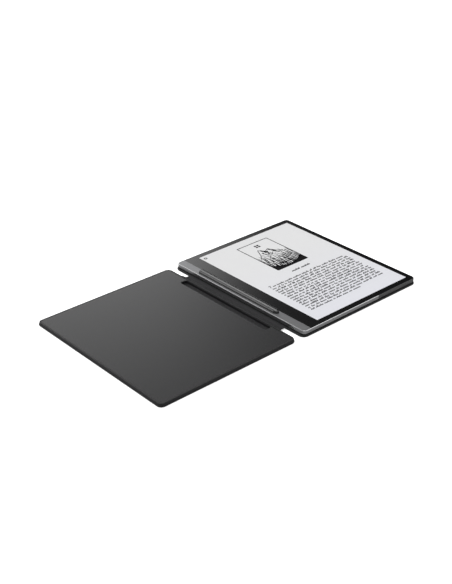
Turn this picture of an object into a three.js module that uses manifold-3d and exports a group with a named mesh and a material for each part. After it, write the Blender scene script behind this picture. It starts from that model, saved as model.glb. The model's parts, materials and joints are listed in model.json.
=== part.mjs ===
// An e-paper reader on the back panel of a folio cover that lies open, with its pen in the reader's channel.
// Millimetres, +Z up. Origin: the middle of the folio's footprint, on the surface it lies on.
// The hinge spine runs along Y through the origin, the reader lies at +X and the open flap at -X.
import * as THREE from "three";
import { mergeVertices } from "three/addons/utils/BufferGeometryUtils.js";
import Module from "manifold-3d";

const wasm = await Module();
wasm.setup();

// ---------------------------------------------------------------- driving dimensions

const gap = 0.1; // between layers that lie on each other
const slipGap = 0.2; // between pieces that slide or lift apart

const folio = {
  width: 197.8, // each panel, from its spine edge to its outer edge
  length: 229,
  spineRadius: 7.5, // corner beside the spine
  outerRadius: 6.5, // corner away from the spine
  skin: 0.5,
  lining: 0.4,
  backThickness: 2.7,
  flapThickness: 4.6,
};

const hinge = {
  x: 4.7, // each hinge line is this far from the middle of the spine
  z: 2.05, // height of both hinge lines
  edge: 0.2, // from a hinge line to the panel that turns on it
  spineHalfWidth: 3.7,
  spineThickness: 0.9,
  spineLength: 170,
};

const reader = {
  width: 195,
  length: 226.8,
  thickness: 5.5,
  cornerRadius: 5,
  chamfer: 0.45,
  wall: 1.1,
  floor: 0.7,
  x0: 7,
};

const display = {
  width: 157.25,
  length: 209.66,
  x0: 36.85, // left edge of the picture area
};

const pen = {
  radius: 4.3,
  boreRadius: 3.4,
  x: 14.05,
  y0: -64.5, // nib tip
  coneY: -63.2, // open end of the tip cone
  barrelY0: -50,
  barrelY1: 72,
  y1: 74.2,
  nibRadius: 0.7,
};

const channel = {
  radius: 4.5,
  y0: -68.3,
  y1: 75.2,
  scoop: 5, // length of the rounded end beside the nib
};

const groove = {
  x: -13.85,
  width: 9.3,
  y0: -76.6,
  y1: 75.4,
  cornerRadius: 3,
  wall: 0.35,
};

const strip = { width: 11.85 }; // bare metal beside the front lens
const pressTravel = 0.3;

// ---------------------------------------------------------------- worked-out places

const readerBottom = folio.backThickness + slipGap;
const front = readerBottom + reader.thickness;
const readerX1 = reader.x0 + reader.width;
const readerHalf = reader.length / 2;
const cavityFloor = readerBottom + reader.floor;
const backX0 = hinge.x + hinge.edge;
const backX1 = backX0 + folio.width;
const folioHalf = folio.length / 2;
const displayX1 = display.x0 + display.width;
const penZ = front;

// The reader's inner layers, each as its lowest and highest level.
const level = {
  keeper: [cavityFloor + gap, cavityFloor + 0.35],
  board: [cavityFloor + 0.2, cavityFloor + 0.8],
  battery: [cavityFloor + gap, cavityFloor + 2.1],
  frame: [cavityFloor + 1.4, cavityFloor + 2.2],
  shield: [cavityFloor + 2.3, cavityFloor + 2.45],
  digitizer: [cavityFloor + 2.55, cavityFloor + 2.9],
  panel: [cavityFloor + 3.0, cavityFloor + 3.45],
  guide: [cavityFloor + 3.55, cavityFloor + 3.9],
  mask: [cavityFloor + 3.98, cavityFloor + 4.15],
  lens: [front - 0.5, front],
};

// ---------------------------------------------------------------- finishes

function finish(color, roughness, metalness = 0) {
  return new THREE.MeshStandardMaterial({ color, roughness, metalness });
}

const finishes = {
  cover: finish(0x4c4d50, 0.75),
  coverInside: finish(0x5b5c5f, 0.8),
  board: finish(0x8d8b84, 0.9),
  aluminium: finish(0x8f9194, 0.4, 0.9),
  steel: finish(0xa5a6a8, 0.35, 1),
  magnet: finish(0xb9bbbe, 0.25, 1),
  blackPlastic: finish(0x2a2b2d, 0.5),
  greyPlastic: finish(0x6e7073, 0.5),
  lens: finish(0x1d1e20, 0.25),
  paper: finish(0xdfe3e6, 0.7),
  clear: finish(0xd9e2e6, 0.15),
  circuit: finish(0x1f5a3c, 0.6),
  flex: finish(0xb87a2c, 0.5),
  cell: finish(0x3b3f45, 0.55),
  penBody: finish(0x45464a, 0.45),
  nib: finish(0x242528, 0.6),
};

// ---------------------------------------------------------------- solids

// A closed three.js geometry as a solid that can be cut and joined.
function solid(geometry) {
  const bare = new THREE.BufferGeometry();
  bare.setAttribute("position", geometry.getAttribute("position"));
  if (geometry.index) bare.setIndex(geometry.index);
  const merged = mergeVertices(bare, 1e-4);
  return new wasm.Manifold(
    new wasm.Mesh({
      numProp: 3,
      vertProperties: merged.attributes.position.array,
      triVerts: new Uint32Array(merged.index.array),
    }),
  );
}

function geometryOf(body) {
  const { vertProperties, triVerts } = body.getMesh();
  return new THREE.BufferGeometry()
    .setAttribute("position", new THREE.BufferAttribute(vertProperties, 3))
    .setIndex(new THREE.BufferAttribute(triVerts, 1));
}

// A box from its two opposite corners.
function block(x0, x1, y0, y1, z0, z1) {
  const box = new THREE.BoxGeometry(x1 - x0, y1 - y0, z1 - z0);
  box.translate((x0 + x1) / 2, (y0 + y1) / 2, (z0 + z1) / 2);
  return solid(box);
}

// The rectangle area with rounded corners, moved inwards by inset: points counter-clockwise from above.
function outline(area, inset, steps) {
  const [x0, x1, y0, y1] = area.sides;
  const corners = [
    [x1, y0, -1, 1, area.right],
    [x1, y1, -1, -1, area.right],
    [x0, y1, 1, -1, area.left],
    [x0, y0, 1, 1, area.left],
  ];
  const points = [];
  corners.forEach(([x, y, inX, inY, radius], quarter) => {
    const r = Math.max(radius - inset, 0.2);
    const reach = inset + r;
    for (let i = 0; i <= steps; i++) {
      const angle = ((quarter - 1 + i / steps) * Math.PI) / 2;
      points.push([x + inX * reach + r * Math.cos(angle), y + inY * reach + r * Math.sin(angle)]);
    }
  });
  return points;
}

// A plate over a rounded rectangle, stacked from levels, each a height and how far the edge draws in.
function plate(area, levels, steps = 5) {
  const rings = levels.map(([z, inset]) => outline(area, inset, steps).map(([x, y]) => [x, y, z]));
  const count = rings[0].length;
  const top = (rings.length - 1) * count;
  const triangles = [];
  for (let ring = 0; ring < rings.length - 1; ring++) {
    for (let i = 0; i < count; i++) {
      const a = ring * count + i;
      const b = ring * count + ((i + 1) % count);
      triangles.push(a, b, b + count, a, b + count, a + count);
    }
  }
  for (let i = 1; i < count - 1; i++) {
    triangles.push(0, i + 1, i);
    triangles.push(top, top + i, top + i + 1);
  }
  const geometry = new THREE.BufferGeometry();
  geometry.setAttribute("position", new THREE.Float32BufferAttribute(rings.flat(2), 3));
  geometry.setIndex(triangles);
  return solid(geometry);
}

function flatPlate(x0, x1, y0, y1, [z0, z1], radius = 0.5, steps = 2) {
  return plate({ sides: [x0, x1, y0, y1], left: radius, right: radius }, [[z0, 0], [z1, 0]], steps);
}

// A body of revolution about a line along Y, from pairs of radius and y that start and end on the line.
function turnedAlongY(profile, x, z, segments = 20) {
  const lathe = new THREE.LatheGeometry(profile.map(([r, y]) => new THREE.Vector2(r, y)), segments);
  lathe.rotateY(Math.PI / segments); // no vertex lies level with the line
  lathe.translate(x, 0, z);
  return solid(lathe);
}

function rodAlongY(radius, y0, y1, x, z, segments = 16) {
  return turnedAlongY([[0, y0], [radius, y0], [radius, y1], [0, y1]], x, z, segments);
}

function tubeAlongY(outer, inner, y0, y1, x, z, segments = 20) {
  const profile = [[inner, y0], [outer, y0], [outer, y1], [inner, y1], [inner, y0]];
  return turnedAlongY(profile, x, z, segments);
}

function rodAlongZ(radius, x, y, z0, z1, segments = 12) {
  const rod = new THREE.CylinderGeometry(radius, radius, z1 - z0, segments);
  rod.rotateX(Math.PI / 2);
  rod.translate(x, y, (z0 + z1) / 2);
  return solid(rod);
}

// A bar whose section is a slot with round ends, length along X and height along Y, extruded along +Z.
function slotBar(length, height, depth) {
  const r = height / 2;
  const half = length / 2 - r;
  const shape = new THREE.Shape();
  shape.absarc(half, 0, r, -Math.PI / 2, Math.PI / 2);
  shape.absarc(-half, 0, r, Math.PI / 2, (3 * Math.PI) / 2);
  return new THREE.ExtrudeGeometry(shape, { depth, bevelEnabled: false, curveSegments: 6 });
}

// The slot bar turned to run along +X from x0, its length along Y.
function slotAlongX(length, height, x0, x1, y, z) {
  const bar = slotBar(length, height, x1 - x0);
  bar.rotateY(Math.PI / 2);
  bar.rotateX(Math.PI / 2);
  bar.translate(x0, y, z);
  return solid(bar);
}

// The slot bar turned to run along +Y from y0, its length along X.
function slotAlongY(length, height, x, y0, y1, z) {
  const bar = slotBar(length, height, y1 - y0);
  bar.rotateX(-Math.PI / 2);
  bar.translate(x, y0, z);
  return solid(bar);
}

function part(name, body, material) {
  const mesh = new THREE.Mesh(geometryOf(body), material);
  mesh.name = name;
  return mesh;
}

function assembly(...parts) {
  const group = new THREE.Group();
  group.add(...parts.flat());
  return group;
}

// ---------------------------------------------------------------- folio: back panel

const backArea = {
  sides: [backX0, backX1, -folioHalf, folioHalf],
  left: folio.spineRadius,
  right: folio.outerRadius,
};
const backMagnetSpots = [[28, -80], [28, 80], [188, -80], [188, 80]];
const backMagnetRadius = 5;

// A shallow tray: the skin wraps the underside and the edges.
function backSkin() {
  const rim = folio.backThickness - folio.lining - gap;
  const body = plate(backArea, [[0, 1.2], [0.5, 0.7], [1.1, 0.35], [1.4, 0], [rim, 0]]);
  return body.subtract(plate(backArea, [[folio.skin, 1.3], [rim + 1, 1.3]]));
}

function backBoard() {
  const top = folio.backThickness - folio.lining - gap;
  let body = plate(backArea, [[folio.skin + gap, 1.5], [top, 1.5]]);
  for (const [x, y] of backMagnetSpots) {
    body = body.subtract(rodAlongZ(backMagnetRadius + slipGap, x, y, 0, top + 1));
  }
  return body;
}

function backLining() {
  const bottom = folio.backThickness - folio.lining;
  return plate(backArea, [[bottom, 0.05], [folio.backThickness, 0.3]]);
}

function backMagnets() {
  return backMagnetSpots.map(([x, y], i) => {
    const z0 = folio.skin + 2 * gap;
    const z1 = folio.backThickness - folio.lining - 2 * gap;
    return part(`back_magnet_${i + 1}`, rodAlongZ(backMagnetRadius, x, y, z0, z1), finishes.magnet);
  });
}

// ---------------------------------------------------------------- folio: spine

function spineSheet(z0, z1) {
  const half = hinge.spineHalfWidth;
  return flatPlate(-half, half, -hinge.spineLength / 2, hinge.spineLength / 2, [z0, z1], 2, 3);
}

function spineSkin() {
  return spineSheet(hinge.z - hinge.spineThickness / 2, hinge.z - gap / 2);
}

function spineLining() {
  return spineSheet(hinge.z + gap / 2, hinge.z + hinge.spineThickness / 2);
}

// ---------------------------------------------------------------- folio: flap

const flapArea = {
  sides: [-backX1, -backX0, -folioHalf, folioHalf],
  left: folio.outerRadius,
  right: folio.spineRadius,
};
const flapRim = folio.flapThickness - folio.lining - gap;
const flapEdgeDraw = 1.4; // how far the rounded upper edge draws in
const flapMagnetSides = [-198.6, -193.6];
const flapMagnetSpans = [[-60, -30], [30, 60]];
const wakeMagnetSpot = [-193.5, 80];

function grooveSlot(z0, z1, grow) {
  const half = groove.width / 2 + grow;
  return flatPlate(
    groove.x - half, groove.x + half, groove.y0 - grow, groove.y1 + grow, [z0, z1], groove.cornerRadius + grow, 6,
  );
}

// A tray like the back panel's, deeper, with a rounded upper edge.
function flapSkin() {
  const under = [[0, 1.6], [0.5, 0.9], [1.1, 0.35], [1.5, 0]];
  const over = [[2.5, 0], [3, 0.45], [flapRim, flapEdgeDraw * 0.65]];
  const body = plate(flapArea, [...under, ...over]);
  return body.subtract(plate(flapArea, [[folio.skin, 2.2], [flapRim + 1, 2.2]]));
}

function flapBoard() {
  let body = plate(flapArea, [[folio.skin + gap, 2.5], [flapRim, 2.5]]);
  body = body.subtract(grooveSlot(0, folio.flapThickness, groove.wall + gap));
  for (const [y0, y1] of flapMagnetSpans) {
    body = body.subtract(
      block(flapMagnetSides[0] - slipGap, flapMagnetSides[1] + slipGap, y0 - slipGap, y1 + slipGap, 0, 9),
    );
  }
  return body.subtract(rodAlongZ(4 + slipGap, ...wakeMagnetSpot, 0, 9));
}

// The inner sheet, with the walls of the groove that the pen enters when the flap is closed.
function flapLining() {
  const bottom = flapRim + gap;
  const sheet = plate(flapArea, [[bottom, flapEdgeDraw * 0.7], [folio.flapThickness, flapEdgeDraw]]);
  const walls = grooveSlot(folio.skin + gap, bottom + gap, groove.wall);
  return sheet.add(walls).subtract(grooveSlot(0, folio.flapThickness + 1, 0));
}

function flapMagnets() {
  const z0 = folio.skin + 2 * gap;
  const z1 = flapRim - gap;
  const clasps = flapMagnetSpans.map(([y0, y1], i) =>
    part(`flap_magnet_${i + 1}`, block(...flapMagnetSides, y0, y1, z0, z1), finishes.magnet),
  );
  return [...clasps, part("wake_magnet", rodAlongZ(4, ...wakeMagnetSpot, z0, z1), finishes.magnet)];
}

// ---------------------------------------------------------------- reader: housing

const readerArea = {
  sides: [reader.x0, readerX1, -readerHalf, readerHalf],
  left: reader.cornerRadius,
  right: reader.cornerRadius,
};
const cavityX0 = reader.x0 + strip.width + 0.75;
const cavityX1 = readerX1 - reader.wall;
const cavityHalf = readerHalf - reader.wall;
const cavityArea = {
  sides: [cavityX0, cavityX1, -cavityHalf, cavityHalf],
  left: 0.5,
  right: reader.cornerRadius - reader.wall,
};
const lensX0 = reader.x0 + strip.width;
const lensInset = reader.chamfer + 0.1;
const pocketX0 = reader.x0 + 1.3; // hollow ends of the metal strip
const pocketFloor = cavityFloor + 0.05;
const pocketTop = front - 0.85;
const usb = { y: -93.3, z: readerBottom + 2.9, width: 9, height: 2.9, depth: 7.3 };
const powerButton = { x: 31.2, z: readerBottom + 2.5, width: 11.2, height: 1.5 };
const microphoneXs = [60, 72];
const microphoneZ = readerBottom + 2.7;
const screwSpots = [[26, 104], [191, 104], [34, -104], [191, -104]];
const antennaX0 = 133.85; // along the bottom edge, from here round the right corner
const antennaY1 = -83.4;

function lensRecess(grow) {
  const sides = [
    lensX0 - grow, readerX1 - lensInset + grow, -readerHalf + lensInset - grow, readerHalf - lensInset + grow,
  ];
  return { sides, left: 0.6, right: reader.cornerRadius - lensInset };
}

function channelSpace() {
  const { radius, y0, y1, scoop } = channel;
  const profile = [
    [0, y0],
    [radius * 0.5, y0 + scoop * 0.14],
    [radius * 0.87, y0 + scoop * 0.5],
    [radius, y0 + scoop],
    [radius, y1],
    [0, y1],
  ];
  return turnedAlongY(profile, pen.x, penZ, 24);
}

// The region of the side wall that is plastic instead of metal, drawn back by inset at its two ends.
function antennaRegion(z0, inset) {
  const along = block(antennaX0 + inset, readerX1 + 1, -readerHalf - 1, -readerHalf + 7, z0, front + 1);
  const side = block(readerX1 - 7, readerX1 + 1, -readerHalf - 1, antennaY1 - inset, z0, front + 1);
  return along.add(side);
}

function readerShell() {
  const edge = reader.chamfer;
  return plate(readerArea, [[readerBottom, 0.8], [readerBottom + 0.8, 0], [front - edge, 0], [front, edge]]);
}

function cavity(z0) {
  return plate(cavityArea, [[z0, 0], [front + 1, 0]]);
}

function screwPosts() {
  return screwSpots.map(([x, y]) => {
    const post = rodAlongZ(2.2, x, y, cavityFloor - 0.2, level.frame[0] - gap);
    return post.subtract(rodAlongZ(1, x, y, cavityFloor + 0.1, front));
  });
}

function housing() {
  const { wall } = reader;
  let body = readerShell().subtract(cavity(cavityFloor));
  body = body.subtract(plate(lensRecess(0.05), [[level.lens[0] - gap, 0], [front + 1, 0]]));
  body = body.subtract(channelSpace());
  const pocketHalf = cavityHalf - 0.6;
  body = body.subtract(block(pocketX0, cavityX0 + 1, -pocketHalf, channel.y0 - 2, pocketFloor, pocketTop));
  body = body.subtract(block(pocketX0, cavityX0 + 1, channel.y1 + 2, pocketHalf, pocketFloor, pocketTop));
  body = body.subtract(slotAlongX(usb.width + 0.3, usb.height + 0.3, reader.x0 - 1, pocketX0 + 0.2, usb.y, usb.z));
  const slot = [powerButton.width + 0.4, powerButton.height + 0.4];
  body = body.subtract(
    slotAlongY(...slot, powerButton.x, readerHalf - wall - 0.2, readerHalf + 1, powerButton.z),
  );
  for (const x of microphoneXs) {
    body = body.subtract(rodAlongY(0.6, readerHalf - wall - 0.2, readerHalf + 1, x, microphoneZ, 8));
  }
  const plasticWall = readerShell().subtract(cavity(0)).intersect(antennaRegion(cavityFloor + 0.3, -0.05));
  body = body.subtract(plasticWall);
  for (const post of screwPosts()) {
    body = body.add(post);
  }
  return body;
}

function antennaCover() {
  const wallRing = readerShell().subtract(cavity(0));
  const recess = plate(lensRecess(0.05), [[level.lens[0] - gap, 0], [front + 1, 0]]);
  return wallRing.intersect(antennaRegion(cavityFloor + 0.4, 0.05)).subtract(recess);
}

// ---------------------------------------------------------------- reader: display stack

function frontLens() {
  return plate(lensRecess(-0.05), [[level.lens[0], 0], [front, 0]]);
}

function bezelMask() {
  const border = 0.3;
  const sheet = flatPlate(cavityX0 + 0.3, cavityX1 - 0.2, -cavityHalf + 0.2, cavityHalf - 0.2, level.mask, 3.4, 3);
  const window = block(
    display.x0 - border, displayX1 + border, -display.length / 2 - border, display.length / 2 + border, 0, 20,
  );
  return sheet.subtract(window);
}

const moduleX1 = displayX1 + 2.4; // right edge of every layer of the display module

function lightGuide() {
  return flatPlate(display.x0 - 3.9, moduleX1, -display.length / 2 - 3.6, display.length / 2 + 4.2, level.guide);
}

// The row of front lights along the lower edge of the light guide.
function frontLightStrip() {
  const y1 = -display.length / 2 - 3.8;
  return flatPlate(display.x0, displayX1, y1 - 2.2, y1, level.guide, 0.3, 1);
}

function epaperPanel() {
  return flatPlate(display.x0 - 3.9, moduleX1, -display.length / 2 - 4, display.length / 2 + 2.2, level.panel);
}

function penDigitizer() {
  return flatPlate(display.x0 - 5.8, moduleX1, -display.length / 2 - 4.6, display.length / 2 + 4.6, level.digitizer);
}

function shieldSheet() {
  return flatPlate(display.x0 - 6.8, moduleX1, -display.length / 2 - 4.6, display.length / 2 + 4.6, level.shield);
}

// ---------------------------------------------------------------- reader: electronics

const batterySides = [70, 160, -70, 40];
const mainBoardSides = [42, 178, 52.5, 100];
const flexX = [100, 130];

function midFrame() {
  const half = 107.6;
  const clearance = 1;
  let body = flatPlate(23, moduleX1, -half, half, level.frame, 2, 3);
  for (const [x0, x1, y0, y1] of [batterySides, mainBoardSides]) {
    body = body.subtract(block(x0 - clearance, x1 + clearance, y0 - clearance, y1 + clearance, 0, 20));
  }
  body = body.subtract(block(flexX[0] - 2, flexX[1] + 2, mainBoardSides[3], half + 1, 0, 20));
  for (const [x, y] of screwSpots) {
    body = body.subtract(rodAlongZ(1.1, x, y, 0, 20, 10));
  }
  return body;
}

function battery() {
  return flatPlate(...batterySides, level.battery, 2, 3);
}

function batteryCable() {
  return flatPlate(112, 118, batterySides[3] + gap, mainBoardSides[2] - gap, [cavityFloor + 0.4, cavityFloor + 1]);
}

function mainBoard() {
  return flatPlate(...mainBoardSides, level.board, 1.5, 2);
}

function boardCan(x0, x1, y0, y1, height) {
  const z0 = level.board[1] + gap;
  return flatPlate(x0, x1, y0, y1, [z0, z0 + height], 1, 2);
}

// The display's flat cable: from the panel's upper edge round to the main board, a C seen from the side.
function displayFlex() {
  const panelEdge = display.length / 2 + 2.3;
  const outerY = panelEdge + 3.2;
  const thick = 0.2;
  const lowZ = level.board[1] + gap;
  const highZ = level.panel[1] - 0.1;
  const upper = block(...flexX, panelEdge, outerY, highZ - thick, highZ);
  const turn = block(...flexX, outerY - thick, outerY, lowZ, highZ);
  const lower = block(...flexX, mainBoardSides[3] - 4, outerY, lowZ, lowZ + thick);
  return upper.add(turn).add(lower);
}

function usbPort() {
  const x0 = reader.x0 + 0.3;
  const shell = slotAlongX(usb.width, usb.height, x0, x0 + usb.depth, usb.y, usb.z);
  const mouth = slotAlongX(usb.width - 0.6, usb.height - 0.6, x0 - 1, x0 + usb.depth - 1, usb.y, usb.z);
  const tongue = block(x0 + 0.8, x0 + usb.depth - 0.5, usb.y - 3.3, usb.y + 3.3, usb.z - 0.35, usb.z + 0.35);
  return shell.subtract(mouth).add(tongue);
}

function usbBoard() {
  const z0 = cavityFloor + gap;
  return flatPlate(pocketX0 + 0.3, 26, usb.y - 9.5, usb.y + 9.5, [z0, usb.z - usb.height / 2 - 0.05], 1, 2);
}

function usbFlex() {
  const z = [cavityFloor + gap, cavityFloor + 0.25];
  const run = flatPlate(35, 40, usb.y - 4, 58, z, 0.5, 1);
  return run.add(flatPlate(26.2, 39, usb.y - 4, usb.y + 4, z, 0.5, 1));
}

function wifiAntenna() {
  const y0 = -cavityHalf + 0.3;
  return block(140, 195, y0, y0 + 0.3, cavityFloor + 0.4, level.guide[0] - 0.5);
}

function microphone(x) {
  return block(x - 1.8, x + 1.8, cavityHalf - 1.8, cavityHalf - 0.4, microphoneZ - 0.6, microphoneZ + 0.6);
}

function hallSensor() {
  return block(192, 195, 78.5, 81.5, cavityFloor + 0.3, cavityFloor + 1.2);
}

// A cap that shows in its slot, on a flange that keeps it in.
function powerButtonBody() {
  const { x, z, width, height } = powerButton;
  const flangeFront = cavityHalf - 0.35;
  const cap = slotAlongY(width, height, x, flangeFront - 0.2, folioHalf, z);
  return cap.add(slotAlongY(width + 2, height + 0.7, x, flangeFront - 0.75, flangeFront, z));
}

function powerSwitch() {
  const { x } = powerButton;
  const y1 = cavityHalf - 1.1 - pressTravel - gap;
  return block(x - 3.5, x + 3.5, y1 - 2.2, y1, cavityFloor + 0.4, level.shield[0] - gap);
}

const penMagnetSpans = [[-30, -22], [38, 48]];

function penHolderMagnet([y0, y1]) {
  return block(cavityX0 + 0.3, cavityX0 + 2.9, y0, y1, cavityFloor + gap, level.guide[0]);
}

function keeperPlate(x) {
  return flatPlate(x - 4, x + 4, -83, 83, level.keeper, 1, 2);
}

function latchPlate([y0, y1]) {
  return block(moduleX1 + 0.6, cavityX1 - 0.5, y0, y1, cavityFloor + 0.4, level.guide[0]);
}

function frameScrew([x, y]) {
  const headBottom = level.frame[1] - 0.5;
  const shank = rodAlongZ(0.8, x, y, cavityFloor + 0.2, headBottom + 0.1, 10);
  return shank.add(rodAlongZ(1, x, y, headBottom, level.frame[1] + 0.05, 10));
}

function readerParts() {
  return [
    part("housing", housing(), finishes.aluminium),
    part("antenna_cover", antennaCover(), finishes.greyPlastic),
    part("front_lens", frontLens(), finishes.lens),
    part("bezel_mask", bezelMask(), finishes.blackPlastic),
    part("light_guide", lightGuide(), finishes.clear),
    part("front_light_strip", frontLightStrip(), finishes.flex),
    part("epaper_panel", epaperPanel(), finishes.paper),
    part("pen_digitizer", penDigitizer(), finishes.circuit),
    part("shield_sheet", shieldSheet(), finishes.steel),
    part("mid_frame", midFrame(), finishes.blackPlastic),
    part("battery", battery(), finishes.cell),
    part("battery_cable", batteryCable(), finishes.flex),
    part("main_board", mainBoard(), finishes.circuit),
    part("processor_shield", boardCan(60, 90, 60, 90, 1.2), finishes.steel),
    part("wireless_shield", boardCan(142, 166, 62, 84, 1), finishes.steel),
    part("display_flex", displayFlex(), finishes.flex),
    part("usb_port", usbPort(), finishes.steel),
    part("usb_board", usbBoard(), finishes.circuit),
    part("usb_flex", usbFlex(), finishes.flex),
    part("wireless_antenna", wifiAntenna(), finishes.flex),
    microphoneXs.map((x, i) => part(`microphone_${i + 1}`, microphone(x), finishes.steel)),
    part("hall_sensor", hallSensor(), finishes.blackPlastic),
    part("power_button", powerButtonBody(), finishes.aluminium),
    part("power_switch", powerSwitch(), finishes.steel),
    penMagnetSpans.map((span, i) => part(`pen_holder_magnet_${i + 1}`, penHolderMagnet(span), finishes.magnet)),
    [28, 188].map((x, i) => part(`keeper_plate_${i + 1}`, keeperPlate(x), finishes.steel)),
    flapMagnetSpans.map((span, i) => part(`latch_plate_${i + 1}`, latchPlate(span), finishes.steel)),
    screwSpots.map((spot, i) => part(`frame_screw_${i + 1}`, frameScrew(spot), finishes.steel)),
  ].flat();
}

// ---------------------------------------------------------------- pen

function penBarrel() {
  return tubeAlongY(pen.radius, pen.boreRadius, pen.barrelY0, pen.barrelY1, pen.x, penZ, 24);
}

function penTipCone() {
  const top = pen.barrelY0 - gap;
  const mouth = 1.5;
  const bore = pen.nibRadius + slipGap;
  const profile = [
    [bore, pen.coneY],
    [mouth, pen.coneY],
    [3.3, pen.coneY + 6],
    [pen.radius, top - 1],
    [pen.radius, top],
    [bore, top],
    [bore, pen.coneY],
  ];
  return turnedAlongY(profile, pen.x, penZ, 24);
}

// A rounded end with a plug that sits in the barrel's bore.
function penCap() {
  const bottom = pen.barrelY1 + gap;
  const profile = [
    [0, pen.barrelY1 - 3],
    [pen.boreRadius - gap, pen.barrelY1 - 3],
    [pen.boreRadius - gap, bottom],
    [pen.radius, bottom],
    [pen.radius, pen.y1 - 1],
    [pen.radius - 0.35, pen.y1 - 0.3],
    [pen.radius - 1.1, pen.y1],
    [0, pen.y1],
  ];
  return turnedAlongY(profile, pen.x, penZ, 24);
}

function penNib() {
  const r = pen.nibRadius;
  const profile = [[0, pen.y0], [r * 0.6, pen.y0 + 0.15], [r, pen.y0 + 0.7], [r, -36.2], [0, -36.2]];
  return turnedAlongY(profile, pen.x, penZ, 12);
}

function penParts() {
  const inner = pen.boreRadius - slipGap;
  const magnets = penMagnetSpans.map(([y0, y1], i) =>
    part(`pen_magnet_${i + 1}`, rodAlongY(inner, y0, y1, pen.x, penZ, 12), finishes.magnet),
  );
  const board = block(pen.x - 2.4, pen.x + 2.4, -18, 22, penZ - 0.4, penZ + 0.4);
  return [
    part("pen_barrel", penBarrel(), finishes.penBody),
    part("pen_tip_cone", penTipCone(), finishes.penBody),
    part("pen_cap", penCap(), finishes.penBody),
    part("pen_coil", tubeAlongY(inner, 1.2, -49, -38, pen.x, penZ, 16), finishes.flex),
    part("pressure_sensor", rodAlongY(2.4, -35.6, -33, pen.x, penZ, 12), finishes.steel),
    part("pen_board", board, finishes.circuit),
    part("pen_nib", penNib(), finishes.nib),
    ...magnets,
  ];
}

// ---------------------------------------------------------------- the whole object

const backPanel = assembly(
  part("back_skin", backSkin(), finishes.cover),
  part("back_board", backBoard(), finishes.board),
  part("back_lining", backLining(), finishes.coverInside),
  backMagnets(),
);
const spine = assembly(
  part("spine_skin", spineSkin(), finishes.cover),
  part("spine_lining", spineLining(), finishes.coverInside),
);
const flap = assembly(
  part("flap_skin", flapSkin(), finishes.cover),
  part("flap_board", flapBoard(), finishes.board),
  part("flap_lining", flapLining(), finishes.coverInside),
  flapMagnets(),
);

export default assembly(backPanel, spine, flap, assembly(readerParts()), assembly(penParts()));
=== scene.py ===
"""An e-paper reader lying in its open folio cover, with the pen in its channel.

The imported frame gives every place. New surfaces are worked out in millimetres and put down in metres.
"""

import json
import math

import bpy
import numpy as np
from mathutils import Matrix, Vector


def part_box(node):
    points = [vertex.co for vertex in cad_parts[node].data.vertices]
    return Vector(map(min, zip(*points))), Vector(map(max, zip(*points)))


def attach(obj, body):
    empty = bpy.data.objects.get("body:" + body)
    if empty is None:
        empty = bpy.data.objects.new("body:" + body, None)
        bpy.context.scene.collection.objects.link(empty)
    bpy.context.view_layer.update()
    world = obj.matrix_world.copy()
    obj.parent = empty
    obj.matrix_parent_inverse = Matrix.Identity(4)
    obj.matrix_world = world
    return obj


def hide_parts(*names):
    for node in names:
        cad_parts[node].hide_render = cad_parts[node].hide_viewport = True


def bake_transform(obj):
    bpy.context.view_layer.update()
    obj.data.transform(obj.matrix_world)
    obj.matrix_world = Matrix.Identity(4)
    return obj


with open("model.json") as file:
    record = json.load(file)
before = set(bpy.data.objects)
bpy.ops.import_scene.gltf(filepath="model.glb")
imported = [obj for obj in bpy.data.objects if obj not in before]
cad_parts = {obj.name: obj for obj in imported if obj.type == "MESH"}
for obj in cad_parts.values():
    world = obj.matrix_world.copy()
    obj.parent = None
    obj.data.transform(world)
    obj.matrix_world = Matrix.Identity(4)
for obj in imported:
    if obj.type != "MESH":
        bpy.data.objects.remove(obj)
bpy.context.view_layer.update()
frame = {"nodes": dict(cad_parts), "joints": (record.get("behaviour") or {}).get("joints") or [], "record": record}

MM = 0.001
CORNER_STEPS = 12  # facets in each rounded corner
EDGE_STEPS = 6  # facets in each rounded edge


# ---------------------------------------------------------------- camera, floor and light

CAMERA_PLACE = (-0.77125, -0.85123, 0.6510)
CAMERA_HEADING = 41.785  # degrees from +Y towards +X
CAMERA_PITCH = 28.947  # degrees below the horizon
CAMERA_LENS = 67.86  # millimetres, as the sensor's width
CAMERA_SENSOR = 36
CAMERA_REACH = 100  # metres


def add_camera():
    """One camera that looks down on the open folio from its front left."""
    data = bpy.data.cameras.new("camera")
    data.lens = CAMERA_LENS
    data.sensor_width = CAMERA_SENSOR
    data.clip_end = CAMERA_REACH
    camera = bpy.data.objects.new("camera", data)
    camera.location = CAMERA_PLACE
    camera.rotation_euler = (math.radians(90 - CAMERA_PITCH), 0, math.radians(-CAMERA_HEADING))
    bpy.context.scene.collection.objects.link(camera)
    bpy.context.scene.camera = camera


def maths(tree, operation, a, b):
    """A Math node over two values, each of them a number or a socket."""
    node = tree.nodes.new("ShaderNodeMath")
    node.operation = operation
    for socket, value in zip(node.inputs, (a, b)):
        if isinstance(value, (int, float)):
            socket.default_value = value
        else:
            tree.links.new(value, socket)
    return node.outputs[0]


def between(tree, value, start, end):
    """A smooth step of a value, from 0 at start to 1 at end."""
    edge = tree.nodes.new("ShaderNodeMapRange")
    edge.interpolation_type = "SMOOTHSTEP"
    edge.inputs["From Min"].default_value = start
    edge.inputs["From Max"].default_value = end
    tree.links.new(value, edge.inputs["Value"])
    return edge.outputs["Result"]


def window(tree, value, low, high, soft):
    """1 between low and high, falling to 0 over soft to each side."""
    rise = between(tree, value, low - soft, low)
    fall = between(tree, value, high + soft, high)
    return maths(tree, "MULTIPLY", rise, fall)


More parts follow.
